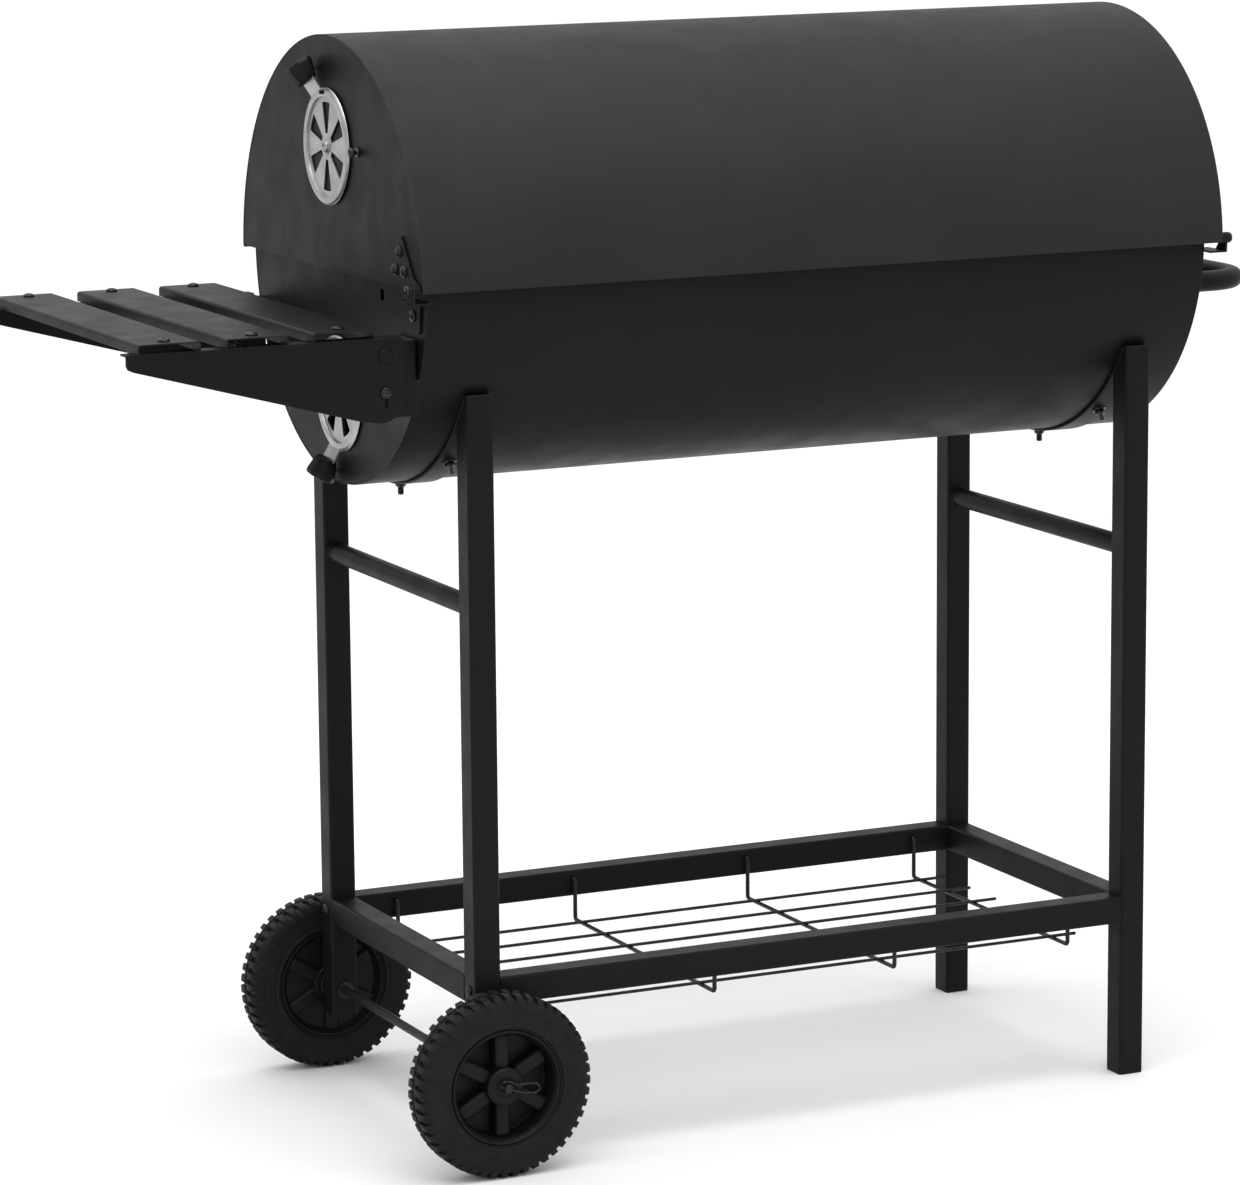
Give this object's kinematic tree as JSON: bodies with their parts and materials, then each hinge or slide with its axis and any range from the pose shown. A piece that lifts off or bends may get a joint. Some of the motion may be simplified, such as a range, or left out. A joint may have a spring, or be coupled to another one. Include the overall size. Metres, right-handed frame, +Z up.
{
  "type": "barrel charcoal grill",
  "caption": "Barrel charcoal grill on a wheeled square-tube cart, with a hinged lid, turning air vents, a slatted side shelf, a push handle and a hanging wire tray.",
  "frame": {"origin": "on the ground, under the middle of the object's box", "axes": "+Z up, +X towards the end with the side shelf and the wheels, +Y towards the lid's hinges"},
  "size_m": [1.1262, 0.4684, 0.985],
  "materials": {
    "powder_coat": "satin black powder coat with a fine orange peel",
    "bright_steel": "bright zinc-plated pressed steel, lightly brushed",
    "dark_steel": "black-plated bolts, nuts and pins",
    "black_plastic": "matt black moulded plastic",
    "tyre": "solid black tyre with lugs on both shoulders",
    "plated_rod": "dark plated round rod and wire",
    "grate_steel": "plated grate bars"
  },
  "bodies": {
    "grill": {"drum_shell": "powder_coat", "drum_end_shelf_side": "powder_coat", "drum_end_handle_side": "powder_coat", "lid_rest_shelf_side": "powder_coat", "lid_rest_handle_side": "powder_coat", "hinge_drum_leaf_shelf_side": "powder_coat", "hinge_drum_leaf_handle_side": "powder_coat", "hinge_pin_shelf_side": "dark_steel", "hinge_pin_handle_side": "dark_steel", "drum_damper_pivot_screw": "bright_steel", "drum_damper_stop_screw": "dark_steel", "grate_ledge_hinge_side": "powder_coat", "grate_ledge_cook_side": "powder_coat", "leg_hinge_side_shelf_end": "powder_coat", "leg_cook_side_shelf_end": "powder_coat", "leg_hinge_side_handle_end": "powder_coat", "leg_cook_side_handle_end": "powder_coat", "foot_cap_hinge_side": "black_plastic", "foot_cap_cook_side": "black_plastic", "saddle_shelf_end": "powder_coat", "saddle_handle_end": "powder_coat", "cross_tube_shelf_end": "powder_coat", "cross_tube_handle_end": "powder_coat", "rail_hinge_side": "powder_coat", "rail_cook_side": "powder_coat", "rail_shelf_end": "powder_coat", "rail_handle_end": "powder_coat", "wire_tray": "plated_rod", "axle": "plated_rod", "axle_clip_hinge_side": "plated_rod", "axle_clip_cook_side": "plated_rod", "shelf_mount_hinge_side": "powder_coat", "shelf_mount_cook_side": "powder_coat", "shelf_bracket_hinge_side": "powder_coat", "shelf_bracket_cook_side": "powder_coat", "shelf_slat_1": "powder_coat", "shelf_slat_2": "powder_coat", "shelf_slat_3": "powder_coat", "push_handle": "powder_coat"},
    "lid": {"lid_shell": "powder_coat", "lid_end_shelf_side": "powder_coat", "lid_end_handle_side": "powder_coat", "lid_handle": "powder_coat", "hinge_lid_leaf_shelf_side": "powder_coat", "hinge_lid_leaf_handle_side": "powder_coat", "lid_damper_pivot_screw": "bright_steel", "lid_damper_stop_screw": "dark_steel"},
    "lid_damper": {"lid_damper": "bright_steel", "lid_damper_knob": "black_plastic"},
    "drum_damper": {"drum_damper": "bright_steel", "drum_damper_knob": "black_plastic"},
    "wheel_hinge_side": {"tyre_hinge_side": "tyre", "wheel_hub_hinge_side": "black_plastic"},
    "wheel_cook_side": {"tyre_cook_side": "tyre", "wheel_hub_cook_side": "black_plastic"},
    "cooking_grate_shelf_side": {"cooking_grate_shelf_side": "grate_steel"},
    "cooking_grate_handle_side": {"cooking_grate_handle_side": "grate_steel"},
    "charcoal_grate": {"charcoal_grate": "powder_coat"}
  },
  "joints": [
    {"name": "lid_hinge", "type": "hinge", "parent": "grill", "child": "lid", "pos_m": [0, 0.21775, 0.783], "axis": [-1, 0, 0], "range_deg": [0, 95]},
    {"name": "lid_damper_turn", "type": "hinge", "parent": "lid", "child": "lid_damper", "pos_m": [0.31009, 0.02075, 0.888], "axis": [1, 0, 0], "range_deg": [-95, 0]},
    {"name": "drum_damper_turn", "type": "hinge", "parent": "grill", "child": "drum_damper", "pos_m": [0.30009, 0.01275, 0.669], "axis": [1, 0, 0], "range_deg": [0, 82]},
    {"name": "wheel_hinge_side_spin", "type": "hinge", "parent": "grill", "child": "wheel_hinge_side", "pos_m": [0.24359, 0.21275, 0.082], "axis": [0, 1, 0], "continuous": true},
    {"name": "wheel_cook_side_spin", "type": "hinge", "parent": "grill", "child": "wheel_cook_side", "pos_m": [0.24359, -0.18725, 0.082], "axis": [0, 1, 0], "continuous": true},
    {"name": "cooking_grate_shelf_side_lift", "type": "slide", "parent": "grill", "child": "cooking_grate_shelf_side", "axis": [0, 0, 1], "range_m": [0, 0.08]},
    {"name": "cooking_grate_handle_side_lift", "type": "slide", "parent": "grill", "child": "cooking_grate_handle_side", "axis": [0, 0, 1], "range_m": [0, 0.08]},
    {"name": "charcoal_grate_lift", "type": "slide", "parent": "grill", "child": "charcoal_grate", "axis": [0, 0, 1], "range_m": [0, 0.05]}
  ]
}
